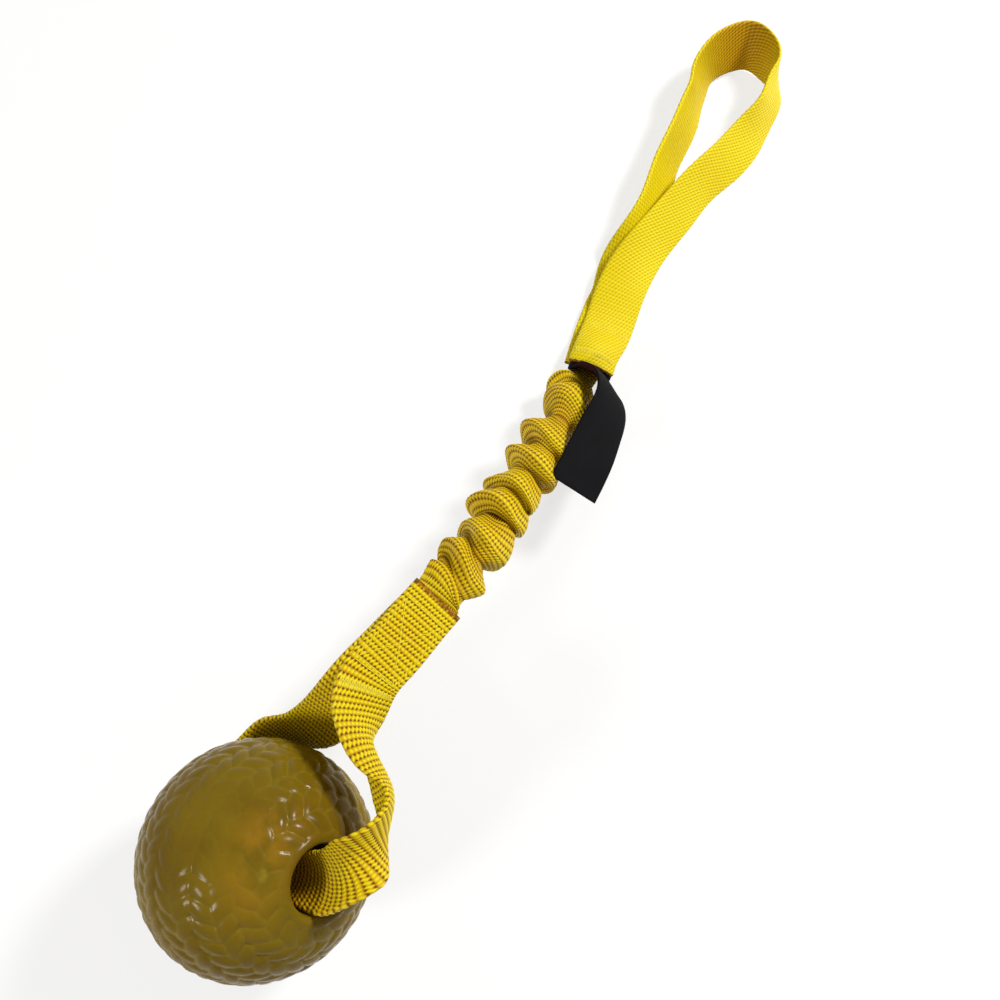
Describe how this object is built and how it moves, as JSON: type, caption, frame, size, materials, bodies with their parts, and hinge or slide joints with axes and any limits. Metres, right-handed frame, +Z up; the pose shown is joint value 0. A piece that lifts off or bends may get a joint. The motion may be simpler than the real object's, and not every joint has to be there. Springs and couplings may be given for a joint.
{
  "type": "bungee tug toy",
  "caption": "Tug toy: a scaled rubber ball threaded on a webbing loop, joined through a gathered elastic sleeve to a webbing hand loop with a sewn-in label.",
  "frame": {"origin": "middle of the flat underside of the handle strap, where it rests on the floor just past its seam", "axes": "+Z up from the floor, +X from the ball towards the bend of the handle, +Y to the left of that"},
  "size_m": [0.4101, 0.0784, 0.0758],
  "materials": {
    "webbing_yellow": "lemon yellow plain-woven webbing",
    "handle_yellow": "lemon yellow plain-woven webbing",
    "sleeve_yellow": "gathered tubular webbing, golden in its folds",
    "rubber_olive": "translucent olive rubber with raised scales, satin",
    "label_black": "black woven ribbon, bare",
    "elastic_pale": "pale woven elastic",
    "thread_yellow": "yellow sewing thread"
  },
  "bodies": {
    "ball_loop": {"ball_loop_webbing": "webbing_yellow", "loop_box_needle_thread": "thread_yellow", "loop_box_bobbin_thread": "thread_yellow", "loop_tack_needle_thread": "thread_yellow", "loop_tack_bobbin_thread": "thread_yellow"},
    "ball": {"ball": "rubber_olive"},
    "bungee": {"bungee_sleeve": "sleeve_yellow", "elastic_core": "elastic_pale"},
    "handle": {"handle_webbing": "handle_yellow", "sleeve_tack_needle_thread": "thread_yellow", "sleeve_tack_bobbin_thread": "thread_yellow", "handle_tack_needle_thread": "thread_yellow", "handle_tack_bobbin_thread": "thread_yellow"},
    "label": {"label_ribbon": "label_black"}
  },
  "joints": [
    {"name": "ball_spin", "type": "hinge", "parent": "ball_loop", "child": "ball", "pos_m": [-0.2417, 0.0071, 0.0373], "axis": [0.2358, -0.6847, 0.6896], "continuous": true},
    {"name": "bungee_bend", "type": "hinge", "parent": "ball_loop", "child": "bungee", "pos_m": [-0.1438, -0.0021, 0.0393], "axis": [-0.3205, -0.9317, -0.1711], "range_deg": [-75, 75], "deforming": ["bungee_sleeve", "elastic_core"]},
    {"name": "bungee_stretch", "type": "slide", "parent": "bungee", "child": "handle", "axis": [0.9548, -0.016, -0.2969], "range_m": [0, 0.09], "stiffness_N_per_m": 350, "deforming": ["bungee_sleeve", "elastic_core"]},
    {"name": "label_flap", "type": "hinge", "parent": "handle", "child": "label", "pos_m": [-0.0339, -0.0063, 0.0084], "axis": [-0.0349, 0.997, 0.0697], "range_deg": [0, 100], "deforming": ["label_ribbon"]}
  ]
}
